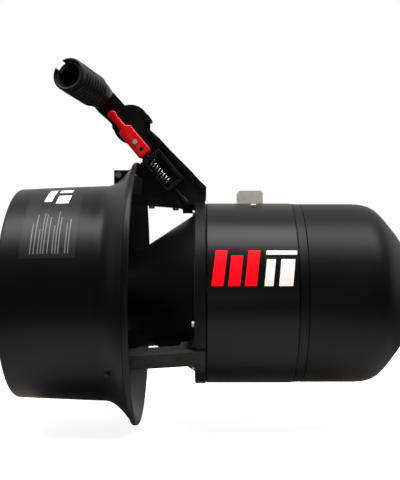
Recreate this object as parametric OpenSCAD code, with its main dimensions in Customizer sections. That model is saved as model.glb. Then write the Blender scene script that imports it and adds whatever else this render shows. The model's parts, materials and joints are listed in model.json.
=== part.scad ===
// Underwater scooter: a torpedo hull with a ducted propeller, a folding hand grip and a pull trigger.
// Millimetres. +X towards the nose, +Z up, +Y to the scooter's left; the origin is on the hull axis,
// half way along the straight wall of the battery hull.

/* [Hull] */
// outer radius of the motor hull
hull_r = 99.8; // [95:0.1:105]
// outer radius of the battery hull's straight wall
nose_r = 99.0; // [95:0.1:105]
// wall thickness of both hulls
wall = 5.3; // [3:0.1:8]
// length of the motor hull, flange face to joint collar
mid_len = 93; // [70:1:130]
// visible width of the joint collar between the hulls
collar_w = 10; // [6:1:20]
// length of the battery hull's straight wall
nose_len = 57; // [40:1:120]

/* [Shroud] */
// front-to-back position of the shroud's rear edge
duct_x0 = -205; // [-240:1:-180]
// outer radius of the flared lip
lip_r = 145.3; // [135:0.1:155]
// outer radius of the shroud at its rear edge
duct_r = 115.4; // [110:0.1:125]
// angle from the top to each lower strut
strut_a = 126.5; // [110:1:140]
// width of a strut across the flow
strut_w = 19.5; // [10:1:26]

/* [Propeller] */
// blade tip radius
prop_r = 111.5; // [100:0.5:112]
// pitch of the blades
prop_pitch = 190; // [120:5:260]
// number of blades
blades = 3; // [2:1:5]
// radius of the propeller shaft
shaft_r = 8; // [6:0.5:10]

/* [Handle] */
// angle of the arm below horizontal
arm_a = 50; // [40:1:60]
// travel of the trigger along the arm
trigger_travel = 7; // [4:0.5:8]
// half thickness of the arm
arm_t = 10; // [8:0.5:14]
// outer radius of the grip tube
grip_r = 14; // [12:0.5:16]
// length of the ribbed grip
grip_len = 57; // [45:1:100]

/* [Battery] */
// radius of one cell
cell_r = 9.2; // [9:0.1:11]
// length of one cell
cell_len = 65; // [60:1:75]
// spacing of the cells
cell_pitch = 20; // [19:0.5:24]

/* [Hidden] */
$fn = 96;
band_x = mid_len + collar_w + nose_len / 2;    // the origin, measured forward from the flange face
nose_x = mid_len + collar_w;                   // start of the battery hull
ring_r = 100.4;                                // outer radius of the flange ring
in_r = hull_r - wall;                          // bore of the motor hull
flange_as = [14, -14, strut_a - 20, strut_a + 20, -strut_a - 20, -strut_a + 20];    // angles of the flange screws
s_x = -66.4; s_z = 152.6;                      // reference point on the trigger's line
k_x = -84; k_z = 188.5;                        // the grip's fold axis
p1 = [-115.9, -38, 215.4];                     // foot of the grip
g_pol = 82.9; g_az = -109.4;                   // direction of the grip
rod_y = -16.2;                                 // the trigger line's distance to the side
steel = [0.72, 0.72, 0.73]; black = [0.06, 0.06, 0.06]; dark = [0.12, 0.12, 0.12];

// ---------- helpers ----------
module fwd() translate([-band_x, 0, 0]) children();
module rev(pts) rotate([0, 90, 0]) rotate_extrude() polygon([for (p = pts) [p[1], p[0]]]);
module xc(x0, x1, r) translate([x0, 0, 0]) rotate([0, 90, 0]) cylinder(h = x1 - x0, r = r);
module xt(x0, x1, ro, ri) difference() { xc(x0, x1, ro); xc(x0 - 1, x1 + 1, ri); }
module yc(x, z, y0, y1, r) translate([x, y1, z]) rotate([90, 0, 0]) cylinder(h = y1 - y0, r = r);
module yplate(pts, y0, y1) translate([0, y1, 0]) rotate([90, 0, 0]) linear_extrude(y1 - y0) polygon(pts);
module arm() translate([s_x, 0, s_z]) rotate([0, arm_a, 0]) children();
module box(x0, x1, y0, y1, z0, z1) translate([x0, y0, z0]) cube([x1 - x0, y1 - y0, z1 - z0]);
module grip() translate(p1) rotate([0, g_pol, g_az]) children();
module around(a) rotate([a, 0, 0]) children();

// space outside the shroud's inner wall, used to trim what stands inside it
module shroud_outside(gap) rev([[-230, 147], [-230, 111.2 - gap], [-203, 111.8 - gap], [-105, 115.9 - gap],
    [-97, 118.6 - gap], [-91, 122.6 - gap], [-85, 128.3 - gap], [-80, 134 - gap], [-75.5 + gap, 139.5 - gap],
    [-73.2 + gap, 142.5 - gap], [-73.2 + gap, 147]]);
// everything inside the shroud's outer wall
module shroud_inside(gap) rev([[-230, 0], [-230, duct_r + gap], [-203, duct_r + gap], [-107, 119.4 + gap],
    [-100, 122.2 + gap], [-94, 126.5 + gap], [-88, 132 + gap], [-83, 138 + gap], [-78.5, 143.5 + gap],
    [-76, lip_r + gap], [-70, lip_r + gap], [-70, 0]]);

// ---------- hull ----------
// motor hull: a turned tube with an inner flange that the ring's screws enter
module mid_hull() color(dark) fwd() difference() {
    rev([[0, 86], [0, hull_r - 1], [1.2, hull_r], [mid_len - 0.6, hull_r], [mid_len, hull_r - 0.6],
        [mid_len, in_r], [7, in_r], [7, 86]]);
    for (a = flange_as)
        around(a) translate([0, 0, 91]) xc(-1, 6, 1.65);
    translate([51.5, 0, 0]) around(16) translate([0, 0, 90]) cylinder(h = 12, r = 1.65);
    for (x = [42, 56]) translate([x, 0, 92]) cylinder(h = 12, r = 1.25);
    // the reed switch's pocket continues into the flange
    translate([0, -13, 92]) xc(-1, 3, 3.1);
}

// battery hull: straight wall, rounded shoulder, blunt nose
module nose_hull() color(dark) fwd() rev([[nose_x, nose_r - wall + 0.8], [nose_x, nose_r - 0.6], [nose_x + 0.6, nose_r],
    [160, nose_r], [168, 98.6], [173, 97.9], [179, 96.1], [184.3, 93.2], [190, 88.3], [195.6, 82.2], [206.8, 68.8],
    [218, 53.2], [226, 42], [231, 34.8], [234.5, 28], [236.5, 21], [236.5, 0], [230.5, 0], [230.5, 18], [222, 38.5],
    [213.5, 50.2], [202.5, 65.5], [191.5, 78.7], [186, 84.2], [180.5, 88.6], [174, 92], [166, 93.7], [158, 94.5]]);

// collar that joins both hulls, with a spigot and a seal groove each way and a web
module joint_collar() color([0.09, 0.09, 0.09]) fwd() difference() {
    rev([[79, 87], [79, 93.4], [80, 94.2], [84.2, 94.2], [84.2, 91.4], [88, 91.4], [88, 94.2], [mid_len, 94.2],
        [mid_len, 98.6], [mid_len + 0.8, 99.3], [nose_x - 0.8, 98.9], [nose_x, 98.2], [nose_x, 94.2], [108, 94.2],
        [108, 91.4], [111.8, 91.4], [111.8, 94.2], [116, 94.2], [117, 93.4], [117, 87], [101, 87], [101, 12],
        [96, 12], [96, 87]]);
}
module rear_o_ring() color([0.3, 0.1, 0.08]) fwd() translate([86.1, 0, 0]) rotate([0, 90, 0]) rotate_extrude() translate([92.9, 0]) circle(r = 1.4, $fn = 32);
module front_o_ring() color([0.3, 0.1, 0.08]) fwd() translate([109.9, 0, 0]) rotate([0, 90, 0]) rotate_extrude() translate([92.9, 0]) circle(r = 1.4, $fn = 32);

// flange ring with its three struts, one casting
module strut() {
    yplate([[-1, 84], [-1, 103.08], [-84, 109.9], [-92, 122], [-104, 122], [-104, 108], [-96, 102],
        [-84, 98.9], [-29, 94.5], [-20, 89.4], [-12, 88.4], [-11.5, 84]], -strut_w / 2, strut_w / 2);
    // rounded gussets where the strut meets the ring
    for (s = [-1, 1]) translate([0, 0, 89]) linear_extrude(9.6)
        polygon([[-11, 0], [-11, s * 19], [-12.2, s * 18], [-13.6, s * 14.8], [-16.5, s * 12], [-21, s * 10.2], [-26, s * strut_w / 2], [-26, 0]]);
}
module spider_frame() color(black) fwd() difference() {
    union() {
        rev([[-12, 80.1], [-12, ring_r - 0.8], [-11.2, ring_r], [-1, ring_r], [0, ring_r - 1], [0, 80.1]]);
        strut();
        around(strut_a) strut();
        around(-strut_a) strut();
    }
    shroud_outside(0.3);
    xc(-11.9, 1, 80.1);
    for (a = flange_as)
        around(a) translate([0, 0, 91]) xc(-13, 1, 1.65);
    for (a = [0, strut_a, -strut_a]) around(a) translate([-98.5, 0, 105]) cylinder(h = 20, r = 1.65);
    for (x = [-61, -34]) translate([x, 0, 90]) cylinder(h = 30, r = 2.05);
    translate([0, -13, 92]) xc(-9, 1, 3.1);
}

// black cone between the hull and the propeller, with the tail bearing's seat
module tail_cone() color(black) fwd() rev([[-12, 82.6], [-12, 87.8], [-98.5, 30.8], [-100, 29], [-100, 14.05], [-94, 14.05],
    [-94, 16.02], [-82, 16.02], [-82, 35]]);

// shroud: a slightly tapered duct with a flared, rolled lip
module shroud() color([0.1, 0.1, 0.1]) fwd() difference() {
    rev([[duct_x0, 112.5], [duct_x0, 113.9], [-203, duct_r], [-107, 119.4], [-100, 122.2], [-94, 126.5], [-88, 132],
        [-83, 138], [-78.5, 143.5], [-76, lip_r], [-73.8, 144.8], [-73.2, 142.5], [-75.5, 139.5], [-80, 134],
        [-85, 128.3], [-91, 122.6], [-97, 118.6], [-105, 115.9], [-203, 111.8]]);
    for (a = [0, strut_a, -strut_a]) around(a) translate([-98.5, 0, 0]) { translate([0, 0, 112]) cylinder(h = 15, r = 1.75); translate([0, 0, 124.2]) cylinder(h = 10, r = 3.4); }
    translate([0, 0, 132.5]) xc(-95, -75, 2.6);
}
module shroud_screws() color(steel) fwd() for (a = [0, strut_a, -strut_a]) around(a) translate([-98.5, 0, 0]) {
    translate([0, 0, 108]) cylinder(h = 16.3, r = 1.6);
    translate([0, 0, 124.3]) cylinder(h = 1.7, r1 = 3.2, r2 = 2.6);
}
module flange_screws() color(steel) fwd() for (a = flange_as)
    around(a) translate([0, 0, 91]) { xc(-12.05, 5.5, 1.6); difference() { xc(-14.6, -12, 2.9); xc(-15, -13.4, 1.4, $fn = 6); } }

// accessory block on the hull's top, with a threaded hole
module accessory_block() color([0.75, 0.73, 0.7]) fwd() difference() {
    translate([0, 12.5, 0]) rotate([90, 0, 0]) linear_extrude(25)
        polygon([[34.8, 98], [34.8, 111.2], [37.6, 113.5], [60, 113.5], [62.9, 111.2], [62.9, 98]]);
    xc(30, 70, hull_r);
    translate([48.9, 0, 104.5]) cylinder(h = 10, r = 3);
    for (x = [42, 56]) translate([x, 0, 98]) cylinder(h = 16, r = 1.3);
    for (x = [42, 56]) translate([x, 0, 111]) cylinder(h = 4, r = 2.4);
}
module accessory_screws() color(steel) fwd() for (x = [42, 56]) translate([x, 0, 0]) {
    translate([0, 0, 95]) cylinder(h = 16, r = 1.2);
    difference() { translate([0, 0, 111]) cylinder(h = 2, r = 2.3); translate([0, 0, 112]) cylinder(h = 2, r = 1.2, $fn = 6); }
}
module hull_side_screw() color(steel) fwd() translate([51.5, 0, 0]) around(16) {
    translate([0, 0, 94.6]) cylinder(h = 5.35, r = 1.6);
    difference() { translate([0, 0, hull_r + 0.05]) cylinder(h = 1.6, r = 2.8); translate([0, 0, hull_r + 0.8]) cylinder(h = 2, r = 1.4, $fn = 6); }
}

// ---------- handle bracket ----------
module handle_bracket() color(black) fwd() difference() {
    union() {
        yplate([[0, 103], [0.4, 117.7], [-6.7, 124.4], [-17.8, 136.6], [-28.9, 147.7], [-40, 158.8], [-51.1, 171],
            [-62.2, 181], [-73, 192], [-88, 177], [-89.5, 173], [-70.9, 150.7], [-70.9, 108.83]], -arm_t, arm_t);
        // round end that the grip folds about
        yc(k_x, k_z, -arm_t, 3.5, 15.5);
        // raised outer rib
        yplate([[0.4, 117.7], [-6.7, 124.4], [-17.8, 136.6], [-28.9, 147.7], [-40, 158.8], [-51.1, 171], [-62.2, 181],
            [-65.4, 177], [-54.6, 167.4], [-43.6, 155.3], [-32.4, 144.1], [-21.4, 133.2], [-10.2, 120.9], [-4.8, 115.4]],
            -arm_t - 4, -arm_t);
        // foot that stands in front of the shroud's lip
        yplate([[-66, 122], [-66, 145.3], [-84, 145.3], [-84, 134.5], [-78, 133], [-70.6, 126.5], [-70.6, 122]], -9, 9);
    }
    shroud_outside(0.3);
    // room for the grip's hood and cheek
    difference() { yc(k_x, k_z, -20, 20, 21.3); yc(k_x, k_z, -21, 21, 15.5);
        yplate([[k_x, k_z], [k_x + 60, k_z + 1.5], [k_x + 60, k_z - 60], [k_x - 14, k_z - 60]], -25, 25); }
    yc(k_x, k_z, 3.5, 20, 21.3);
    yc(k_x, k_z, -9.4, 4, 3.51);
    for (x = [-61, -34]) translate([x, 0, 100]) cylinder(h = 22, r = 2.05);
    // slot for the trigger's screw, wider behind for its nut
    arm() { yc(-18, 0, -arm_t - 1, 11, 1.9); yc(-18 - trigger_travel, 0, -arm_t - 1, 11, 1.9); box(-18 - trigger_travel, -18, -arm_t - 1, 11, -1.9, 1.9);
        yc(-18, 0, -4, 11, 3.1); yc(-18 - trigger_travel, 0, -4, 11, 3.1); box(-18 - trigger_travel, -18, -4, 11, -3.1, 3.1); }
    translate([0, 0, 132.5]) xc(-90, -48, 2.6);
    translate([0, 0, 132.5]) xc(-52, -46, 4.6);
    translate([-46.1, -5.2, 127.8]) cube([9.5, 26, 9.4]);
}
module bracket_screws() color(steel) fwd() for (x = [-61, -34]) translate([x, 0, 0]) {
    zb = 94.5 + (-29 - x) * 4.4 / 55 - 0.2;
    translate([0, 0, zb]) cylinder(h = 118 - zb, r = 2);
    translate([0, 0, zb - 2.6]) cylinder(h = 2.6, r = 3.4);
}

// block behind the lip, drawn to the bracket by a long bolt
module clamp_block() color(black) fwd() difference() {
    box(-102, -84, -12, 12, 118, 136.3);
    shroud_inside(0);
    translate([0, 0, 132.5]) xc(-97, -80, 2.55);
    yc(-97, 131, -13, 13, 1.85);
    // room for the head of the shroud's top screw
    translate([-98.5, 0, 118]) cylinder(h = 8.9, r = 3.6);
}
module clamp_cross_bolt() color(steel) fwd() { yc(-97, 131, -12, 14, 1.8); yc(-97, 131, -15, -12, 3.4);
    difference() { yc(-97, 131, 12, 15, 3.4, $fn = 6); yc(-97, 131, 11.9, 16, 1.8); } }
module lip_bolt() color(steel) fwd() translate([0, 0, 132.5]) { xc(-94.6, -48, 2.5); difference() { xc(-52, -47, 4.4); xc(-49.5, -46, 2.2, $fn = 6); xc(-60, -40, 0.01); } }

// ---------- trigger ----------
module spring_cage() color([0.14, 0.14, 0.14]) fwd() arm() difference() {
    box(4.6, 48, -24, -arm_t, -7.5, 15);
    box(9, 44, -26, -9, -6, 11);
    translate([0, rod_y, 0]) xc(0, 60, 2.26);
}
// return spring: coils between the cage's top wall and the rod's collar
module return_spring() color(steel) fwd() arm() translate([9.8, rod_y, 0]) rotate([0, 90, 0]) for (i = [0:7])
    translate([0, 0, 0.7 + i * 4.2]) rotate([9, 0, 0]) rotate_extrude() translate([4.95, 0]) circle(r = 0.68, $fn = 16);
module trigger() color([0.75, 0.05, 0.06]) fwd() arm() difference() {
    union() {
        // body with rounded corners
        box(-34.6, -3.6, -20.5, -10.5, -7.8, 8.2);
        box(-38, 0, -20.5, -10.5, -4.4, 4.8);
        for (x = [-34.6, -3.6]) { yc(x, 4.7, -20.5, -10.5, 3.5); yc(x, -4.3, -20.5, -10.5, 3.5); }
        // neck and round finger tip
        box(-57.3, -37, -19, -10.5, -3.9, 3.9);
        yc(-57.3, 0, -20.5, -10.5, 4.8);
    }
    yc(-18, 0, -22, -9, 1.52);
    yc(-7.8, 0.4, -22, -17, 2.3);
    translate([0, rod_y, 0]) xc(-11.2, 5, 2.22);
}
// screw that holds the trigger and rides in the arm's slot, with its nut behind
module trigger_screw() color(steel) fwd() arm() { yc(-18, 0, -20.55, -0.8, 1.5);
    difference() { yc(-18, 0, -21.9, -20.52, 2.6); box(-21.5, -14.5, -23.5, -21.3, -0.4, 0.4); } }
module slide_nut() color(steel) fwd() arm() difference() { yc(-18, 0, -3.6, -1.2, 2.75, $fn = 6); yc(-18, 0, -5, 0, 1.51); }
module pull_rod() color(steel) fwd() arm() translate([0, rod_y, 0]) xc(-11, 68, 2.2);
module spring_collar() color(steel) fwd() arm() translate([0, rod_y, 0]) xt(41.6, 43.8, 4.6, 2.2);
module switch_magnet() color([0.5, 0.5, 0.52]) fwd() arm() translate([0, rod_y, 0]) xt(61, 69.5, 4, 2.2);
module reed_switch() color([0.1, 0.3, 0.15]) fwd() translate([0, -13, 92]) xc(-8.5, 2.5, 3);

// ---------- grip ----------
module grip_neck() color(black) fwd() difference() {
    union() {
        // cheek and hood round the arm's end
        yc(k_x, k_z, 4, 11, 20.8);
        difference() { yc(k_x, k_z, -arm_t, 4.5, 20.8); yc(k_x, k_z, -arm_t - 1, 4, 16);
            yplate([[k_x - 30, k_z - 9], [k_x, k_z], [k_x + 40, k_z + 3.5], [k_x + 40, k_z - 40], [k_x - 30, k_z - 40]], -12, 4); }
        // lip at the hood's end
        yplate([[k_x + 15.8, k_z + 5], [k_x + 16, k_z + 11.5], [k_x + 19.6, k_z + 9.5], [k_x + 24, k_z + 3.6], [k_x + 22.8, k_z + 1.6], [k_x + 17, k_z + 1.5]], -arm_t, 4.2);
        // web behind the trigger's tip
        difference() {
            yplate([[-90, 208.3], [-102.9, 222.5], [-108.5, 228], [-126, 209], [-121.2, 203], [-112.3, 195.5], [-103.5, 186.5],
                [-88, 190]], -arm_t, 9);
            yc(k_x, k_z, -20, 4, 16);
        }
        // sweep round to the grip's foot
        hull() {
            yplate([[-104.2, 224], [-107.4, 227.8], [-126.6, 211.8], [-123.3, 208]], -arm_t, 9);
            grip() translate([0, 0, 0]) cylinder(h = 8, r = 14.6, $fn = 32);
        }
        grip() cylinder(h = 26, r = 12.44);
    }
    yc(k_x, k_z, 3.8, 20, 3.56);
    yc(k_x, k_z, -20, 4, 15.9);
    grip() translate([0, 0, 16]) rotate([0, 90, 0]) cylinder(h = 20, r = 1.65);
}
module grip_tube() color([0.08, 0.08, 0.08]) fwd() grip() difference() {
    cylinder(h = grip_len + 6, r = grip_r);
    translate([0, 0, -1]) cylinder(h = 9, r = 20);
    translate([0, 0, 7]) cylinder(h = 20, r = 12.5);
    translate([0, 0, 26.9]) cylinder(h = 60, r = 12);
    translate([0, 0, 16]) rotate([0, 90, 0]) cylinder(h = 20, r = 1.65);
    rotate([0, 0, 225]) translate([5, -5, grip_len]) cube([20, 10, 20]);
}
// ribbed rubber sleeve with a notch in its end
module grip_sleeve() color([0.1, 0.1, 0.1]) fwd() grip() difference() {
    rotate_extrude() polygon(concat([[grip_r + 0.05, 8.1], [16.2, 8.1]],
        [for (i = [0:5]) each [[16.2, 10.5 + i * 8], [17.2, 11.7 + i * 8], [17.2, 14.9 + i * 8], [16.2, 16.1 + i * 8]]],
        [[16.2, grip_len + 1], [16.9, grip_len + 3], [16.9, grip_len + 7.4], [grip_r + 0.05, grip_len + 7.4]]));
    rotate([0, 0, 225]) translate([5, -5, grip_len]) cube([20, 10, 20]);
    translate([0, 0, 16]) rotate([0, 90, 0]) cylinder(h = 20, r = 3.1);
}
module grip_screw() color(steel) fwd() grip() translate([0, 0, 16]) rotate([0, 90, 0]) { translate([0, 0, 5]) cylinder(h = 9.05, r = 1.6);
    difference() { translate([0, 0, 14.05]) cylinder(h = 1.8, r = 2.9); translate([0, 0, 15]) cylinder(h = 2, r = 1.3, $fn = 6); } }
module pivot_bolt() color(steel) fwd() { yc(k_x, k_z, -9.2, 11.3, 3.5);
    difference() { yc(k_x, k_z, 11.3, 15.5, 6.2); yc(k_x, k_z, 13, 17, 2.6, $fn = 6); } }
module friction_washer() color([0.85, 0.85, 0.8]) fwd() difference() { yc(k_x, k_z, 3.5, 3.9, 13); yc(k_x, k_z, 2, 6, 3.7); }

// ---------- motor ----------
module motor_plate() color([0.6, 0.6, 0.62]) fwd() difference() {
    rev([[-11, 8.6], [-11, 80], [-4, 80], [-4, 20], [33.5, 20], [33.5, 16.02], [22, 16.02], [22, 12], [0.5, 12], [0.5, 16.02],
        [-10.5, 16.02], [-10.5, 8.6]]);
    for (a = [-10, 0, 10]) around(a) translate([0, 0, 60]) xc(-12, 0, 2.3);
    translate([0, 0, 0]) xc(-12, -10, 13);
}
module motor_stator() color([0.45, 0.45, 0.47]) fwd() difference() {
    xc(4, 30, 42);
    xc(3, 31, 20.01);
    for (i = [0:11]) around(i * 30) translate([3, -2.5, 27]) cube([28, 5, 12.5]);
    for (i = [0:11]) around(i * 30) translate([3, -0.8, 36]) cube([28, 1.6, 8]);
}
module motor_windings() color([0.72, 0.4, 0.15]) fwd() { xt(30.02, 35.5, 39.5, 26.5); xt(-2, 3.98, 39.5, 26.5);
    for (i = [0:11]) around(i * 30) translate([3.9, -2.3, 27.2]) cube([26.2, 4.6, 8.6]); }
module rotor_magnets() color([0.5, 0.5, 0.52]) fwd() xt(3, 31, 46, 42.6);
module rotor_can() color([0.2, 0.2, 0.22]) fwd() rev([[1, 46.02], [1, 50], [41.5, 50], [41.5, 15], [47, 15], [47, shaft_r], [37.5, shaft_r], [37.5, 46.02]]);
module propeller_shaft() color(steel) fwd() difference() {
    union() { xc(-104, 49, shaft_r); xc(-145, -103.9, 6); xc(-157, -144.9, 5); }
    translate([-107, 0, -12]) cylinder(h = 24, r = 1.55);
}
module bearing(x0, x1, ri, ro) { rev([[x0, ri], [x0, ri + 2.4], [x0 + 0.8, ri + 2.6], [x0 + 0.8, ro - 2.6], [x0, ro - 2.4], [x0, ro],
    [x1, ro], [x1, ro - 2.4], [x1 - 0.8, ro - 2.6], [x1 - 0.8, ri + 2.6], [x1, ri + 2.4], [x1, ri]]); }
module front_bearing() color(steel) fwd() bearing(22.2, 33, shaft_r + 0.04, 16);
module middle_bearing() color(steel) fwd() bearing(-10.3, 0.3, shaft_r + 0.04, 16);
module tail_bearing() color(steel) fwd() bearing(-93.8, -82.6, shaft_r + 0.04, 16);
module shaft_seal() color([0.12, 0.12, 0.12]) fwd() rev([[-99.6, shaft_r + 0.35], [-99.6, 14], [-94.3, 14], [-94.3, 12], [-97.5, 11.5], [-97.5, shaft_r + 0.35]]);

// ---------- propeller ----------
module slice(r, c, t) translate([-126, 0, r]) rotate([0, 0, atan(prop_pitch / (2 * PI * r))]) cube([t, c, 0.8], center = true);
module propeller() color([0.09, 0.09, 0.09]) fwd() difference() {
    union() {
        rev([[-103.2, 0], [-103.2, 28], [-104.5, 29.3], [-144, 28.6], [-145, 27.6], [-145, 0]]);
        for (i = [0:blades - 1]) around(i * 360 / blades) {
            hull() { slice(26, 44, 8); slice(62, 66, 5.2); }
            hull() { slice(62, 66, 5.2); slice(prop_r - 0.8, 56, 2); }
        }
    }
    xc(-150, -100, 10);
    translate([-108.7, -1.9, -13]) cube([6.5, 3.8, 26]);
}
module propeller_bush() color([0.2, 0.2, 0.2]) fwd() xt(-144.5, -109.3, 9.7, 6.05);
module shear_pin() color(steel) fwd() translate([-107, 0, -12]) cylinder(h = 24, r = 1.5);
module propeller_washer() color(steel) fwd() xt(-146.6, -145.05, 14, 5.1);
module propeller_nut() color(steel) fwd() difference() { xc(-153, -146.62, 9, $fn = 6); xc(-155, -140, 5.03); }
module spinner_cap() color([0.09, 0.09, 0.09]) fwd() rev([[-145.02, 21.5], [-145.02, 27.6], [-152, 25.6], [-160, 20.5], [-166, 13], [-169, 5],
    [-169.5, 0], [-165.5, 0], [-163, 10], [-157.5, 17]]);

// ---------- electronics and battery ----------
module electronics_tray() color([0.55, 0.55, 0.57]) fwd() difference() { xc(52, 55, 94); xc(50, 60, 14);
    for (a = [-10, 0, 10]) around(a) translate([0, 0, 60]) xc(50, 60, 2.3); }
module controller_board() color([0.05, 0.3, 0.12]) fwd() { box(55.02, 57, -52, 52, -78, -18); for (y = [-36, -12, 12, 36]) box(57, 61, y - 7, y + 7, -40, -24); }
module controller_capacitors() color([0.1, 0.1, 0.3]) fwd() for (y = [-33, -11, 11, 33]) translate([0, y, -60]) xc(57.02, 77, 8);
module phase_wires() color([0.6, 0.1, 0.1]) fwd() for (a = [-10, 0, 10]) around(a) translate([0, 0, 60]) xc(-11.5, 62, 2);
module power_plug() color([0.15, 0.15, 0.15]) fwd() { xc(80, 116.95, 10); xc(101.05, 104, 18); }
module battery_rack() color([0.4, 0.4, 0.42]) fwd() {
    xc(117, 120.9, 93.2);
    xc(186.1, 189, 78);
    for (a = [90, -90]) around(a) translate([0, 0, 74]) xc(120.9, 186.1, 3);
}
module battery_cells() color([0.15, 0.35, 0.6]) fwd() for (i = [-4:4], j = [-4:4]) {
    y = (i + 0.5 * (abs(j) % 2)) * cell_pitch; z = j * cell_pitch * 0.866 - 4;
    if (norm([y, z]) < 68 && z < 40 && !(abs(y) > 58 && abs(z) < 10)) translate([0, y, z]) xc(121, 186, cell_r);
}
module ballast_weight() color([0.35, 0.35, 0.37]) fwd() difference() { xt(124, 172, 91.6, 80.5); box(100, 200, -100, 100, -52, 100); }
module trim_weight() color([0.35, 0.35, 0.37]) fwd() difference() { xt(58, 76, 94.2, 80); box(0, 100, -100, 100, -66, 100); }

mid_hull();
nose_hull();
joint_collar();
rear_o_ring();
front_o_ring();
spider_frame();
tail_cone();
shroud();
shroud_screws();
flange_screws();
accessory_block();
accessory_screws();
hull_side_screw();
handle_bracket();
bracket_screws();
clamp_block();
clamp_cross_bolt();
lip_bolt();
spring_cage();
return_spring();
trigger();
trigger_screw();
slide_nut();
pull_rod();
spring_collar();
switch_magnet();
reed_switch();
grip_neck();
grip_tube();
grip_sleeve();
grip_screw();
pivot_bolt();
friction_washer();
motor_plate();
motor_stator();
motor_windings();
rotor_magnets();
rotor_can();
propeller_shaft();
front_bearing();
middle_bearing();
tail_bearing();
shaft_seal();
propeller();
propeller_bush();
shear_pin();
propeller_washer();
propeller_nut();
spinner_cap();
electronics_tray();
controller_board();
controller_capacitors();
phase_wires();
power_plug();
battery_rack();
battery_cells();
ballast_weight();
trim_weight();
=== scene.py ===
import bpy, bmesh, json, math
from mathutils import Vector, Matrix


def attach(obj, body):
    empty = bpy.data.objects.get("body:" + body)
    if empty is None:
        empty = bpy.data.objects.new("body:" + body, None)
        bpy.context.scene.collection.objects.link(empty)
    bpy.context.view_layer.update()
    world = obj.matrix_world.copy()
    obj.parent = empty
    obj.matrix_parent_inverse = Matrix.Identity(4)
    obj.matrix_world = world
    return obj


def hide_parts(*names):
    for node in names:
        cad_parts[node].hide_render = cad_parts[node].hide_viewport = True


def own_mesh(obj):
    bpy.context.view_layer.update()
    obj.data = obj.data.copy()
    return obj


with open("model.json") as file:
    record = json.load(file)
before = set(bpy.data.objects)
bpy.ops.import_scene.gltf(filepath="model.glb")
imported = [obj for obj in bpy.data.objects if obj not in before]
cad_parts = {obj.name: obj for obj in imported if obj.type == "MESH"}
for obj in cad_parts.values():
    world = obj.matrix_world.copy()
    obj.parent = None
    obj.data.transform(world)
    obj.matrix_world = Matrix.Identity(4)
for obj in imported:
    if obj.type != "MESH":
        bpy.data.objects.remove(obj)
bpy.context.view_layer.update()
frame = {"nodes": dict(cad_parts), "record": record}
N = frame["nodes"]
B = 0.1315          # the flange face is this far behind the origin
mm = 0.001


def P(x, y, z):
    """A point given in millimetres from the flange face on the hull's axis."""
    return Vector((x * mm - B, y * mm, z * mm))


# ---------- materials ----------
def new_mat(name):
    m = bpy.data.materials.new(name)
    m.use_nodes = True
    nt = m.node_tree
    bsdf = nt.nodes.get("Principled BSDF")
    return m, nt, bsdf


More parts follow.
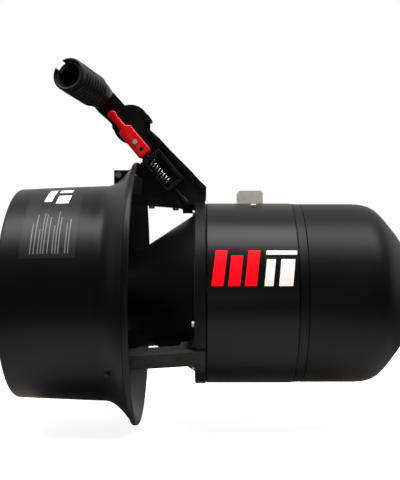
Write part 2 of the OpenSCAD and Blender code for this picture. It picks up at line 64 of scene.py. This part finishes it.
def surface(name, a, b, rough=(0.3, 0.4), metal=0.0, scale=60.0, bump=0.02, bump_scale=400.0, stretch=(1, 1, 1),
            coat=0.0, coat_rough=0.2, spec=0.5, wear_and_edge_highlight=None, aniso=0.0, sheen=0.0):
    """A procedural finish: colour varies between a and b, roughness between two values, fine bump, pale edges that are
    partly wear and partly a painted edge highlight.
    """
    m, nt, p = new_mat(name)
    n, l = nt.nodes, nt.links
    tc = n.new("ShaderNodeTexCoord")
    mp = n.new("ShaderNodeMapping"); mp.inputs["Scale"].default_value = stretch
    l.new(tc.outputs["Object"], mp.inputs["Vector"])
    big = n.new("ShaderNodeTexNoise"); big.inputs["Scale"].default_value = scale; big.inputs["Detail"].default_value = 6
    l.new(mp.outputs["Vector"], big.inputs["Vector"])
    ramp = n.new("ShaderNodeValToRGB")
    ramp.color_ramp.elements[0].position = 0.3; ramp.color_ramp.elements[0].color = (*a, 1)
    ramp.color_ramp.elements[1].position = 0.7; ramp.color_ramp.elements[1].color = (*b, 1)
    l.new(big.outputs["Fac"], ramp.inputs["Fac"])
    colour = ramp.outputs["Color"]
    # edge tint from pointiness with patchy noise: partly wear, partly a painted edge highlight
    if wear_and_edge_highlight:
        geo = n.new("ShaderNodeNewGeometry")
        edge = n.new("ShaderNodeValToRGB")
        edge.color_ramp.elements[0].position = 0.53; edge.color_ramp.elements[0].color = (0, 0, 0, 1)
        edge.color_ramp.elements[1].position = 0.6; edge.color_ramp.elements[1].color = (1, 1, 1, 1)
        l.new(geo.outputs["Pointiness"], edge.inputs["Fac"])
        spots = n.new("ShaderNodeTexNoise"); spots.inputs["Scale"].default_value = 180
        l.new(tc.outputs["Object"], spots.inputs["Vector"])
        mul = n.new("ShaderNodeMath"); mul.operation = "MULTIPLY"
        l.new(edge.outputs["Color"], mul.inputs[0]); l.new(spots.outputs["Fac"], mul.inputs[1])
        mix = n.new("ShaderNodeMix"); mix.data_type = "RGBA"
        l.new(mul.outputs[0], mix.inputs["Factor"])
        l.new(colour, mix.inputs[6]); mix.inputs[7].default_value = (*wear_and_edge_highlight, 1)
        colour = mix.outputs[2]
    l.new(colour, p.inputs["Base Color"])
    rr = n.new("ShaderNodeMapRange"); rr.inputs["To Min"].default_value = rough[0]; rr.inputs["To Max"].default_value = rough[1]
    rn = n.new("ShaderNodeTexNoise"); rn.inputs["Scale"].default_value = scale * 2.3; rn.inputs["Detail"].default_value = 4
    l.new(mp.outputs["Vector"], rn.inputs["Vector"])
    l.new(rn.outputs["Fac"], rr.inputs["Value"]); l.new(rr.outputs["Result"], p.inputs["Roughness"])
    fine = n.new("ShaderNodeTexNoise"); fine.inputs["Scale"].default_value = bump_scale; fine.inputs["Detail"].default_value = 5
    l.new(mp.outputs["Vector"], fine.inputs["Vector"])
    bp = n.new("ShaderNodeBump"); bp.inputs["Strength"].default_value = 1.0; bp.inputs["Distance"].default_value = bump * 0.001
    l.new(fine.outputs["Fac"], bp.inputs["Height"]); l.new(bp.outputs["Normal"], p.inputs["Normal"])
    p.inputs["Metallic"].default_value = metal
    p.inputs["Specular IOR Level"].default_value = spec
    p.inputs["Coat Weight"].default_value = coat
    p.inputs["Coat Roughness"].default_value = coat_rough
    p.inputs["Anisotropic"].default_value = aniso
    p.inputs["Sheen Weight"].default_value = sheen
    return m


HULL = surface("hull_anodised", (0.0040, 0.0036, 0.0030), (0.0062, 0.0056, 0.0048), (0.29, 0.34), scale=14, bump=0.010,
               bump_scale=900, spec=0.21, wear_and_edge_highlight=(0.03, 0.029, 0.027))
NOSE = surface("nose_anodised", (0.0040, 0.0036, 0.0030), (0.0062, 0.0056, 0.0048), (0.38, 0.44), scale=14, bump=0.012,
               bump_scale=900, spec=0.17, wear_and_edge_highlight=(0.03, 0.029, 0.027))
SHROUD = surface("shroud_moulding", (0.0042, 0.0036, 0.0028), (0.0066, 0.0058, 0.0046), (0.31, 0.38), scale=10, bump=0.022,
                 bump_scale=650, spec=0.20, wear_and_edge_highlight=(0.03, 0.028, 0.025))
CONE = surface("cone_coat", (0.0026, 0.0021, 0.0019), (0.0042, 0.0034, 0.0030), (0.38, 0.48), scale=18, bump=0.03, bump_scale=700, spec=0.2)
FRAME = surface("frame_powder_coat", (0.0042, 0.0038, 0.0033), (0.0066, 0.0061, 0.0054), (0.38, 0.48), scale=25, bump=0.05, bump_scale=1400,
                spec=0.13, wear_and_edge_highlight=(0.04, 0.038, 0.035))
BRACKET = surface("bracket_moulding", (0.0022, 0.0022, 0.0019), (0.0040, 0.0040, 0.0035), (0.34, 0.44), scale=30, bump=0.04,
                  bump_scale=1100, spec=0.20, wear_and_edge_highlight=(0.035, 0.035, 0.033))
CAGE = surface("cage_moulding", (0.0028, 0.0028, 0.0025), (0.0048, 0.0048, 0.0043), (0.30, 0.40), scale=30, bump=0.04, bump_scale=1100,
               spec=0.28, wear_and_edge_highlight=(0.07, 0.068, 0.065))
RED = surface("trigger_red_anodised", (0.70, 0.002, 0.006), (0.82, 0.005, 0.012), (0.24, 0.33), scale=60, bump=0.02,
              bump_scale=900, spec=0.42, wear_and_edge_highlight=(0.85, 0.16, 0.16))
STEEL = surface("stainless", (0.50, 0.49, 0.47), (0.62, 0.61, 0.59), (0.2, 0.34), metal=1.0, scale=90, bump=0.03, bump_scale=1600)
ZINC = surface("bright_zinc", (0.72, 0.71, 0.68), (0.86, 0.85, 0.82), (0.34, 0.46), metal=0.35, scale=160, bump=0.03, bump_scale=1600)
BLACK_STEEL = surface("blackened_steel", (0.010, 0.010, 0.010), (0.020, 0.020, 0.019), (0.30, 0.42), metal=0.6, scale=90, bump=0.03, bump_scale=1600, spec=0.3)
SPRING = surface("spring_wire", (0.72, 0.71, 0.70), (0.84, 0.83, 0.82), (0.14, 0.22), metal=1.0, scale=120, bump=0.01, bump_scale=1800)
BLOCK = surface("block_blasted", (0.868, 0.791, 0.7), (0.9, 0.9, 0.826), (0.45, 0.58), metal=0.3, scale=70, bump=0.12, bump_scale=2200,
                wear_and_edge_highlight=(0.7, 0.68, 0.65))
ALLOY = surface("machined_alloy", (0.42, 0.42, 0.43), (0.55, 0.55, 0.56), (0.28, 0.42), metal=1.0, scale=30, bump=0.05, bump_scale=600, stretch=(0.2, 1, 1))
RUBBER = surface("grip_rubber", (0.0040, 0.0034, 0.0030), (0.0072, 0.0063, 0.0058), (0.36, 0.46), scale=40, bump=0.06, bump_scale=1500, spec=0.26)
SEAL = surface("seal_rubber", (0.008, 0.008, 0.008), (0.016, 0.016, 0.016), (0.45, 0.6), scale=60, bump=0.05, bump_scale=1500)
ORING = surface("o_ring_rubber", (0.05, 0.012, 0.008), (0.08, 0.02, 0.014), (0.35, 0.5), scale=60, bump=0.03, bump_scale=1500)
LAMINATION = surface("stator_lamination", (0.12, 0.12, 0.125), (0.25, 0.25, 0.26), (0.3, 0.45), metal=1.0, scale=30, bump=0.12, bump_scale=900, stretch=(40, 1, 1))
COPPER = surface("enamelled_copper", (0.45, 0.16, 0.06), (0.62, 0.26, 0.11), (0.22, 0.36), metal=0.9, scale=140, bump=0.3, bump_scale=700, stretch=(4, 1, 1), coat=0.3)
MAGNET = surface("nickel_magnet", (0.42, 0.41, 0.39), (0.55, 0.54, 0.51), (0.2, 0.32), metal=1.0, scale=50, bump=0.02)
BOARD = surface("circuit_board", (0.008, 0.075, 0.022), (0.02, 0.14, 0.05), (0.3, 0.45), scale=260, bump=0.2, bump_scale=500)
CAP = surface("capacitor_sleeve", (0.01, 0.012, 0.05), (0.02, 0.022, 0.08), (0.25, 0.4), scale=60, bump=0.03)
WIRE = surface("silicone_wire", (0.22, 0.01, 0.008), (0.33, 0.02, 0.016), (0.4, 0.55), scale=60, bump=0.03)
PLUG = surface("plug_moulding", (0.01, 0.01, 0.011), (0.02, 0.02, 0.021), (0.4, 0.55), scale=60, bump=0.06)
CELL = surface("cell_sleeve", (0.015, 0.085, 0.21), (0.03, 0.13, 0.30), (0.22, 0.35), scale=50, bump=0.02, coat=0.3)
LEAD = surface("cast_lead", (0.10, 0.10, 0.105), (0.18, 0.18, 0.185), (0.5, 0.68), metal=0.8, scale=35, bump=0.3, bump_scale=250)
ACETAL = surface("acetal", (0.55, 0.55, 0.50), (0.68, 0.68, 0.62), (0.4, 0.5), scale=60, bump=0.02)
LABEL = surface("label_film", (0.0085, 0.0074, 0.0062), (0.0105, 0.0094, 0.0080), (0.36, 0.42), scale=20, bump=0.012, bump_scale=500, spec=0.26)
PRINT_RED = surface("red_print", (0.82, 0.002, 0.008), (0.90, 0.004, 0.014), (0.30, 0.38), scale=60, bump=0.01, bump_scale=900, spec=0.2)
PRINT_WHITE = surface("white_print", (0.84, 0.80, 0.78), (0.92, 0.88, 0.86), (0.35, 0.45), scale=60, bump=0.01, bump_scale=900, spec=0.2)
PRINT_GREY = surface("grey_print", (0.20, 0.195, 0.185), (0.26, 0.255, 0.245), (0.35, 0.45), scale=60, bump=0.01, bump_scale=900, spec=0.2)
# painted glow: the red print, the white print and the trigger's red get an emission so they shine brighter than the
# lamps alone light them
for m, c, v in ((PRINT_RED, (0.85, 0.0, 0.008, 1), 0.45), (PRINT_WHITE, (0.9, 0.86, 0.84, 1), 0.34), (RED, (0.8, 0.002, 0.006, 1), 0.10)):
    b = m.node_tree.nodes["Principled BSDF"]
    b.inputs["Emission Color"].default_value = c
    b.inputs["Emission Strength"].default_value = v

FINISH = {
    "hull_black": HULL, "shroud_black": SHROUD, "frame_black": FRAME, "bracket_black": BRACKET, "cone_black": CONE,
    "trigger_red": RED, "steel": STEEL, "rod_black": BLACK_STEEL, "spring_steel": SPRING, "block_grey": BLOCK, "alloy": ALLOY, "rubber_black": RUBBER,
    "seal_black": SEAL, "o_ring_rubber": ORING, "lamination": LAMINATION, "copper": COPPER, "magnet": MAGNET,
    "board_green": BOARD, "capacitor": CAP, "wire_red": WIRE, "plug_plastic": PLUG, "cell_wrap": CELL, "lead": LEAD,
    "washer_plastic": ACETAL,
}
for sp in frame["record"]["subparts"]:
    o = N[sp["node"]]
    o.data.materials.clear()
    o.data.materials.append(FINISH[sp["material_slot"]])
N["spring_cage"].data.materials[0] = CAGE
N["nose_hull"].data.materials[0] = NOSE
for node in ("trigger_screw", "flange_screws", "hull_side_screw"):
    N[node].data.materials[0] = ZINC
N["shroud_screws"].data.materials[0] = BLACK_STEEL
N["joint_collar"].data.materials[0] = CONE

# ---------- finer pieces ----------
def arm(x, y, z):
    """A point on the handle's arm: x along it towards the hull, z outwards, y to the side; millimetres."""
    c, q = math.cos(math.radians(50)), math.sin(math.radians(50))
    return P(-66.4 + x * c + z * q, y, 152.6 - x * q + z * c)


GRIP = (Matrix.Translation(P(-115.9, -38, 215.4)) @ Matrix.Rotation(math.radians(-109.4), 4, "Z")
        @ Matrix.Rotation(math.radians(82.9), 4, "Y"))
AXIS = Matrix.Translation(P(0, 0, 0)) @ Matrix.Rotation(math.radians(90), 4, "Y")     # local z runs along the hull


def add(name, bm, mat, body, nodes=(), smooth=40):
    bmesh.ops.remove_doubles(bm, verts=bm.verts, dist=1e-7)
    bmesh.ops.recalc_face_normals(bm, faces=bm.faces)
    me = bpy.data.meshes.new(name)
    bm.to_mesh(me)
    bm.free()
    for p in me.polygons:
        p.use_smooth = True
    me.set_sharp_from_angle(angle=math.radians(smooth))
    me.materials.append(mat)
    o = bpy.data.objects.new(name, me)
    bpy.context.scene.collection.objects.link(o)
    if body:
        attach(o, body)
    if nodes:
        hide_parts(*nodes)
    return o


def revolve(profile, M, n=96, bm=None):
    """Closed profile of (z, r) in millimetres, turned about the local z axis of M."""
    bm = bm or bmesh.new()
    rings = []
    for i in range(n):
        a = 2 * math.pi * i / n
        rings.append([bm.verts.new(M @ Vector((r * mm * math.cos(a), r * mm * math.sin(a), z * mm))) for z, r in profile])
    for i in range(n):
        p, q = rings[i], rings[(i + 1) % n]
        for k in range(len(profile)):
            k2 = (k + 1) % len(profile)
            bm.faces.new((p[k], q[k], q[k2], p[k2]))
    return bm


def tube(points, r, sides=12):
    """A wire of radius r mm along a list of points."""
    bm = bmesh.new()
    up = Vector((0.3, 1, 0.2)).normalized()
    rings = []
    for i, p in enumerate(points):
        t = (points[min(i + 1, len(points) - 1)] - points[max(i - 1, 0)]).normalized()
        up = (up - t * up.dot(t)).normalized()
        v = t.cross(up)
        rings.append([bm.verts.new(p + (up * math.cos(2 * math.pi * k / sides) + v * math.sin(2 * math.pi * k / sides)) * r * mm)
                      for k in range(sides)])
    for a, b in zip(rings, rings[1:]):
        for k in range(sides):
            bm.faces.new((a[k], a[(k + 1) % sides], b[(k + 1) % sides], b[k]))
    bm.faces.new(list(reversed(rings[0])))
    bm.faces.new(rings[-1])
    return bm


def cut(o, bm_cutter):
    """Take a cutter away from an object's mesh."""
    me = bpy.data.meshes.new("cutter")
    bmesh.ops.recalc_face_normals(bm_cutter, faces=bm_cutter.faces)
    bm_cutter.to_mesh(me)
    bm_cutter.free()
    c = bpy.data.objects.new("cutter", me)
    bpy.context.scene.collection.objects.link(c)
    m = o.modifiers.new("cut", "BOOLEAN")
    m.operation = "DIFFERENCE"
    m.solver = "EXACT"
    m.object = c
    bpy.context.view_layer.update()
    new = bpy.data.meshes.new_from_object(o.evaluated_get(bpy.context.evaluated_depsgraph_get()))
    o.modifiers.clear()
    o.data = new
    bpy.data.objects.remove(c)
    for p in o.data.polygons:
        p.use_smooth = True
    o.data.set_sharp_from_angle(angle=math.radians(40))


# return spring: one wire, capped at both ends
turns, n = 8.4, 8.4 * 40
pts = []
for i in range(int(n) + 1):
    t = i / int(n)
    a = 2 * math.pi * turns * t
    e = min(t * turns, (1 - t) * turns, 1.0)
    rise = 9.75 + 31.1 * (t if e >= 1 else t)
    pts.append(arm(rise, -16.2 + 4.95 * math.cos(a), 4.95 * math.sin(a)))
spring = add("return_spring_wire", tube(pts, 0.7, 12), SPRING, "hull", ("return_spring",))
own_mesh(spring)

# propeller: hub with rounded shoulders and lofted, cambered blades
PITCH, TIP = 190.0, 111.3
bm = revolve([(-145, 10.05), (-145, 26.8), (-144.2, 28.2), (-142.5, 28.7), (-124, 29.1), (-106, 29.2), (-104.4, 28.8), (-103.3, 27.6),
              (-103.3, 10.05)], AXIS, 96)
SEC = 22
for b in range(3):
    A = Matrix.Translation(P(0, 0, 0)) @ Matrix.Rotation(2 * math.pi * b / 3, 4, "X")
    rows = []
    for k in range(19):
        u = k / 18
        r = 26.5 + (TIP - 26.5) * u
        chord = (44 + 26 * math.sin(min(u / 0.75, 1) * math.pi / 2)) * math.sqrt(max(1 - max(u - 0.62, 0) ** 2 / 0.19, 0.05))
        thick = 8.0 * (1 - u) + 2.0 * u
        thick = max(min(thick, chord * 0.3) * (1 if k < 18 else 0.4), 0.5)
        beta = math.atan(PITCH / (2 * math.pi * r))
        skew = 4.0 * math.sin(u * math.pi * 0.9)
        row = []
        for m_ in range(SEC):
            w_ = 2 * math.pi * m_ / SEC
            s_ = 0.5 * math.cos(w_)
            prof = math.sin(w_) * (0.5 + 0.14 * math.cos(w_))
            camber = 0.055 * (1 - (2 * s_) ** 2) * chord * (0.4 + 0.6 * u)
            c_ = s_ * chord + skew
            t_ = prof * thick + camber
            ax = -126 - c_ * math.sin(beta) + t_ * math.cos(beta)
            tan = c_ * math.cos(beta) + t_ * math.sin(beta)
            row.append(bm.verts.new(A @ Vector((ax * mm, r * math.sin(tan / r) * mm, r * math.cos(tan / r) * mm))))
        rows.append(row)
    for a_, b_ in zip(rows, rows[1:]):
        for m_ in range(SEC):
            bm.faces.new((a_[m_], a_[(m_ + 1) % SEC], b_[(m_ + 1) % SEC], b_[m_]))
    bm.faces.new(list(reversed(rows[0])))
    bm.faces.new(rows[-1])
add("propeller_blades", bm, SHROUD, "propeller", ("propeller",), smooth=50)

# ribbed rubber sleeve with rounded ribs, a raised rim and a notch
prof = [(8.2, 14.06), (8.2, 15.6), (8.8, 16.1), (10.5, 16.2)]
for i in range(8):
    z0 = 11.0 + i * 5.55
    for f, h in ((0.0, 0.0), (0.14, 0.55), (0.30, 0.95), (0.46, 1.0), (0.62, 0.95), (0.78, 0.5), (0.90, 0.0), (0.95, -0.12)):
        prof.append((z0 + f * 5.55, 16.05 + h * 1.12))
prof += [(56.6, 16.1), (57.6, 16.75), (58.6, 16.95), (62.6, 16.95), (63.7, 16.7), (64.3, 16.1), (64.4, 15.4), (64.3, 14.6), (63.9, 14.06)]
sleeve = add("ribbed_sleeve", revolve(prof, GRIP, 128), RUBBER, None, ("grip_sleeve",))
N225 = GRIP @ Matrix.Rotation(math.radians(225), 4, "Z")
bm = bmesh.new()
vs = [bm.verts.new(N225 @ Vector((x * mm, y * mm, z * mm))) for z in (57, 80) for x, y in ((5, -5), (25, -5), (25, 5), (5, 5))]
for f in ((0, 1, 2, 3), (4, 7, 6, 5), (0, 4, 5, 1), (1, 5, 6, 2), (2, 6, 7, 3), (3, 7, 4, 0)):
    bm.faces.new([vs[i] for i in f])
cut(sleeve, bm)
M16 = GRIP @ Matrix.Translation((0, 0, 0.016)) @ Matrix.Rotation(math.radians(90), 4, "Y")
bm = bmesh.new()
bmesh.ops.create_cone(bm, cap_ends=True, segments=32, radius1=0.0031, radius2=0.0031, depth=0.02, matrix=M16 @ Matrix.Translation((0, 0, 0.02)))
cut(sleeve, bm)
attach(sleeve, "grip")


# shroud: a smooth flare, a rim bead with a groove behind it, and rounded edges
def smooth_line(pts, n=5):
    out = []
    for i in range(len(pts) - 1):
        p0, p1, p2, p3 = pts[max(i - 1, 0)], pts[i], pts[i + 1], pts[min(i + 2, len(pts) - 1)]
        for k in range(n):
            t = k / n
            out.append(tuple(0.5 * (2 * p1[c] + (p2[c] - p0[c]) * t + (2 * p0[c] - 5 * p1[c] + 4 * p2[c] - p3[c]) * t * t
                                    + (3 * p1[c] - p0[c] - 3 * p2[c] + p3[c]) * t ** 3) for c in (0, 1)))
    return out + [pts[-1]]


outer = smooth_line([(-118, 118.95), (-107, 119.45), (-100, 122.0), (-94, 126.2), (-88, 131.9), (-83, 137.8), (-80.2, 141.2)])
inner = smooth_line([(-75.6, 139.4), (-80, 134), (-85, 128.3), (-91, 122.7), (-97, 118.7), (-105, 115.95), (-118, 115.35)])
prof = ([(-204.95, 112.6), (-204.95, 113.6), (-204.5, 114.6), (-203.6, 115.2), (-202, 115.45), (-160, 117.2)] + outer
        + [(-79.9, 141.0), (-79.5, 141.0), (-79.2, 141.6), (-79.0, 144.2), (-78.6, 144.85), (-77.8, 145.15), (-76.6, 145.2), (-75.2, 145.15), (-74.2, 144.85),
           (-73.5, 144.1), (-73.2, 143.0), (-73.5, 142.0)] + inner + [(-160, 113.6), (-203.4, 111.8), (-204.5, 112.0)])
duct = add("shroud_shell", revolve(prof, AXIS, 256), SHROUD, None, ("shroud",), smooth=38)
for a in (0, 126.5, -126.5):
    M = Matrix.Translation(P(0, 0, 0)) @ Matrix.Rotation(math.radians(a), 4, "X") @ Matrix.Translation((-0.0985, 0, 0))
    cut(duct, revolve([(110, 0.02), (110, 1.75), (124.2, 1.75), (124.2, 3.4), (136, 3.4), (136, 0.02)], M, 32))
cut(duct, revolve([(-100, 0.02), (-100, 2.6), (-70, 2.6), (-70, 0.02)], Matrix.Translation((0, 0, 0.1325)) @ AXIS, 32))
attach(duct, "hull")

# trigger: rounded body with a broad bevel, a neck and a round finger tip
def arc(cx, cz, r, a0, a1, n=6):
    return [(cx + r * math.cos(math.radians(a0 + (a1 - a0) * i / n)), cz + r * math.sin(math.radians(a0 + (a1 - a0) * i / n))) for i in range(n + 1)]


line = (arc(-3.8, -4.0, 3.8, -90, 0) + arc(-3.8, 4.4, 3.8, 0, 90) + arc(-34.4, 4.6, 3.6, 90, 170) + [(-38.6, 4.2), (-39.8, 3.9)]
        + [(-52.2, 3.7)] + arc(-57.3, 0, 4.8, 52, 308, 16) + [(-52.2, -3.7), (-39.8, -3.9), (-38.4, -4.4)] + arc(-34.4, -4.2, 3.6, 190, 270))
bm = bmesh.new()
back = [bm.verts.new(arm(x, -10.5, z)) for x, z in line]
front = [bm.verts.new(arm(x, -20.5, z)) for x, z in line]
bm.faces.new(back)
bm.faces.new(list(reversed(front)))
for i in range(len(line)):
    j = (i + 1) % len(line)
    bm.faces.new((back[i], front[i], front[j], back[j]))
bmesh.ops.recalc_face_normals(bm, faces=bm.faces)
ring = set(front)
edges = [e for e in bm.edges if e.verts[0] in ring and e.verts[1] in ring]
bmesh.ops.bevel(bm, geom=edges, offset=0.0021, segments=5, profile=0.5, affect="EDGES", clamp_overlap=False)
pull = add("trigger_bar", bm, RED, None, ("trigger",), smooth=30)
q90 = Matrix.Rotation(math.radians(90), 4, "X")
T = Matrix.Translation(P(-66.4, 0, 152.6)) @ Matrix.Rotation(math.radians(50), 4, "Y")


def cross(x, z, y0, y1, r):
    return revolve([(-y1, 0.02), (-y1, r), (-y0, r), (-y0, 0.02)], T @ Matrix.Translation((x * mm, 0, z * mm)) @ q90, 32)


cut(pull, cross(-7.8, 0.4, -22, -17.2, 2.3))
cut(pull, cross(-18, 0, -22, -9, 1.55))
cut(pull, revolve([(-11.2, 0.02), (-11.2, 2.25), (3, 2.25), (3, 0.02)], T @ Matrix.Translation((0, -0.0162, 0)) @ Matrix.Rotation(math.radians(90), 4, "Y"), 32))
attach(pull, "trigger")


# plain printed shapes and a blank label film
def patch(quads, radius, lift):
    """Thin films that lie on a turned wall: each quad is four (x, angle) corners, angle up from the near side."""
    bm = bmesh.new()
    for quad in quads:
        nx, na = 6, max(4, int(max(c[1] for c in quad) - min(c[1] for c in quad)))
        for side in (0, 1):
            g = []
            for i in range(nx + 1):
                for j in range(na + 1):
                    a_, b_ = i / nx, j / na
                    x = (quad[0][0] * (1 - a_) + quad[1][0] * a_) * (1 - b_) + (quad[3][0] * (1 - a_) + quad[2][0] * a_) * b_
                    t = (quad[0][1] * (1 - a_) + quad[1][1] * a_) * (1 - b_) + (quad[3][1] * (1 - a_) + quad[2][1] * a_) * b_
                    r = radius(x) + (lift if side else lift - 0.12)
                    t = math.radians(t)
                    g.append(bm.verts.new(P(x, -r * math.cos(t), r * math.sin(t))))
            G = (lambda i, j, g=g: g[i * (na + 1) + j])
            for i in range(nx):
                for j in range(na):
                    bm.faces.new((G(i, j), G(i + 1, j), G(i + 1, j + 1), G(i, j + 1)))
            if side == 0:
                low = g
        edge = [(i, 0) for i in range(nx)] + [(nx, j) for j in range(na)] + [(i, na) for i in range(nx, 0, -1)] + [(0, j) for j in range(na, 0, -1)]
        for k in range(len(edge)):
            (i, j), (i2, j2) = edge[k], edge[(k + 1) % len(edge)]
            bm.faces.new((low[i * (na + 1) + j], low[i2 * (na + 1) + j2], g[i2 * (na + 1) + j2], g[i * (na + 1) + j]))
    return bm


def hull_wall(x):
    return 99.8


def duct_wall(x):
    return 115.4 + (x + 203) * 4.0 / 96


def bar(x0, x1, a0, a1, lean=0.0):
    return [(x0, a0), (x1, a0), (x1 + lean, a1), (x0 + lean, a1)]


add("red_stripes", patch([bar(5, 17, 7.6, 29.0, 4.5), bar(21.5, 33.5, 7.6, 25.8, 3.8), bar(38, 50, 7.6, 29.0, 4.5)], hull_wall, 0.16), PRINT_RED, "hull")
add("white_stripes", patch([bar(57.5, 66.5, 7.6, 23.4, 3.2), bar(72, 86, 7.6, 23.4, 3.2), bar(60, 91, 26.2, 28.9, 0.6)], hull_wall, 0.16), PRINT_WHITE, "hull")
add("label_film", patch([[(-183.5, 20.4), (-128.2, 20.4), (-128.2, 97), (-184.5, 97)]], duct_wall, 0.16), LABEL, "hull")
lines = [(-173.4, 22.6, 40), (-169.8, 22.6, 46), (-165.9, 22.6, 36.5), (-163.0, 22.6, 47), (-160.2, 22.6, 46), (-156.4, 22.6, 44), (-151.5, 22.6, 38.5),
         (-148.6, 22.6, 48), (-145.7, 22.6, 44), (-139.0, 22.8, 40), (-136.0, 22.8, 42.5)]
add("label_lines", patch([bar(x, x + 0.95, a0, a1) for x, a0, a1 in lines], duct_wall, 0.30), PRINT_GREY, "hull")
add("shroud_stripes", patch([bar(-168, -160, 57, 72, 2.0), bar(-155.5, -142, 55, 63.5, 1.0), bar(-155.5, -142, 67.5, 72, 0.5)], duct_wall, 0.30), PRINT_WHITE, "hull")


# broken edges on the moulded and machined pieces
def soften(node, width, angle=35):
    o = N[node]
    me = o.data
    if "custom_normal" in me.attributes:
        me.attributes.remove(me.attributes["custom_normal"])
    for p in me.polygons:
        p.use_smooth = True
    for e in me.edges:
        e.use_edge_sharp = False
    w = o.modifiers.new("weld", "WELD")
    w.merge_threshold = 2e-6
    b = o.modifiers.new("edges", "BEVEL")
    b.width = width * mm
    b.segments = 3
    b.limit_method = "ANGLE"
    b.angle_limit = math.radians(angle)
    b.use_clamp_overlap = True
    o.modifiers.new("normals", "WEIGHTED_NORMAL")


for node, width in (("spring_cage", 0.6), ("handle_bracket", 0.6), ("accessory_block", 0.6), ("clamp_block", 0.6), ("grip_neck", 0.5),
                    ("spider_frame", 0.5), ("nose_hull", 0.3), ("mid_hull", 0.3)):
    soften(node, width)

# ---------- floor, light, camera ----------
def stage_plane(name, size, z):
    me = bpy.data.meshes.new(name)
    bm = bmesh.new()
    bmesh.ops.create_grid(bm, x_segments=8, y_segments=8, size=size)
    bm.to_mesh(me); bm.free()
    o = bpy.data.objects.new(name, me)
    o.location = (0, 0, z)
    bpy.context.scene.collection.objects.link(o)
    return o


floor = stage_plane("floor", 6.0, -0.1458)
m, nt, b = new_mat("floor_paper")
b.inputs["Roughness"].default_value = 0.8
b.inputs["Specular IOR Level"].default_value = 0.1
ftc = nt.nodes.new("ShaderNodeTexCoord")
fd = nt.nodes.new("ShaderNodeVectorMath"); fd.operation = "DISTANCE"
fs = nt.nodes.new("ShaderNodeMapping"); fs.inputs["Scale"].default_value = (0.62, 1.0, 1.0)
nt.links.new(ftc.outputs["Object"], fs.inputs["Vector"])
nt.links.new(fs.outputs["Vector"], fd.inputs[0])
fd.inputs[1].default_value = (-0.075, -0.12, 0.0)
fr = nt.nodes.new("ShaderNodeMapRange")          # painted pool of light: for reflections and bounce light the pale table darkens with distance from the scooter, as if lit only round it
fr.inputs["From Min"].default_value = 0.32; fr.inputs["From Max"].default_value = 0.12
nt.links.new(fd.outputs["Value"], fr.inputs["Value"])
painted_light_pool = nt.nodes.new("ShaderNodeValToRGB")
painted_light_pool.color_ramp.elements[0].color = (0.06, 0.055, 0.05, 1)
painted_light_pool.color_ramp.elements[1].color = (0.80, 0.76, 0.70, 1)
nt.links.new(fr.outputs["Result"], painted_light_pool.inputs["Fac"])
flp = nt.nodes.new("ShaderNodeLightPath")
fm = nt.nodes.new("ShaderNodeMix"); fm.data_type = "RGBA"
nt.links.new(flp.outputs["Is Camera Ray"], fm.inputs["Factor"])
nt.links.new(painted_light_pool.outputs["Color"], fm.inputs[6])
fm.inputs[7].default_value = (0.90, 0.90, 0.90, 1)
nt.links.new(fm.outputs[2], b.inputs["Base Color"])
fg = nt.nodes.new("ShaderNodeMix"); fg.data_type = "RGBA"
nt.links.new(flp.outputs["Is Camera Ray"], fg.inputs["Factor"])
fg.inputs[6].default_value = (0, 0, 0, 1); fg.inputs[7].default_value = (0.98, 0.98, 1.0, 1)
nt.links.new(fg.outputs[2], b.inputs["Emission Color"])
b.inputs["Emission Strength"].default_value = 0.9
floor.data.materials.append(m)

w = bpy.data.worlds.new("studio")
bpy.context.scene.world = w
w.use_nodes = True
nt = w.node_tree
nt.nodes.clear()
out = nt.nodes.new("ShaderNodeOutputWorld")
tc = nt.nodes.new("ShaderNodeTexCoord")
sep = nt.nodes.new("ShaderNodeSeparateXYZ")
nt.links.new(tc.outputs["Generated"], sep.inputs[0])
ramp = nt.nodes.new("ShaderNodeValToRGB")       # dark room behind the camera, white paper behind the object
ramp.color_ramp.elements[0].position = 0.40; ramp.color_ramp.elements[0].color = (0.03, 0.03, 0.03, 1)
ramp.color_ramp.elements[1].position = 0.62; ramp.color_ramp.elements[1].color = (0.72, 0.68, 0.63, 1)
mr = nt.nodes.new("ShaderNodeMapRange")
mr.inputs["From Min"].default_value = -1; mr.inputs["From Max"].default_value = 1
nt.links.new(sep.outputs["Y"], mr.inputs["Value"])
nt.links.new(mr.outputs["Result"], ramp.inputs["Fac"])
room = nt.nodes.new("ShaderNodeBackground"); room.inputs["Strength"].default_value = 1.0
nt.links.new(ramp.outputs["Color"], room.inputs["Color"])
paper = nt.nodes.new("ShaderNodeBackground"); paper.inputs["Color"].default_value = (1, 1, 1, 1); paper.inputs["Strength"].default_value = 1.0
lp = nt.nodes.new("ShaderNodeLightPath")
mix = nt.nodes.new("ShaderNodeMixShader")
nt.links.new(lp.outputs["Is Camera Ray"], mix.inputs[0])
nt.links.new(room.outputs[0], mix.inputs[1]); nt.links.new(paper.outputs[0], mix.inputs[2])
nt.links.new(mix.outputs[0], out.inputs[0])


def area(name, loc, target, sx, sy, power):
    d = bpy.data.lights.new(name, "AREA")
    d.shape = "RECTANGLE"; d.size = sx; d.size_y = sy; d.energy = power
    d.color = (1.0, 0.955, 0.90)
    o = bpy.data.objects.new(name, d)
    o.location = loc
    o.rotation_euler = (Vector(target) - Vector(loc)).to_track_quat("-Z", "Y").to_euler()
    bpy.context.scene.collection.objects.link(o)
    return o


area("softbox_top", (-0.1, -0.35, 1.35), (-0.1, 0, 0), 2.4, 0.7, 42)
area("softbox_low", (-0.1, -1.6, -0.02), (-0.1, 0, 0.05), 0.5, 0.3, 0.5)

cam = bpy.data.cameras.new("camera")
cam.sensor_width = 36.0
cam.lens = 54.8
cam.shift_x = -4.0 / 480.0
co = bpy.data.objects.new("camera", cam)
co.location = (-0.13375, -0.822, 0.0588)
co.rotation_euler = (math.radians(90), 0, 0)
bpy.context.scene.collection.objects.link(co)
bpy.context.scene.camera = co
bpy.context.scene.view_settings.view_transform = "Standard"
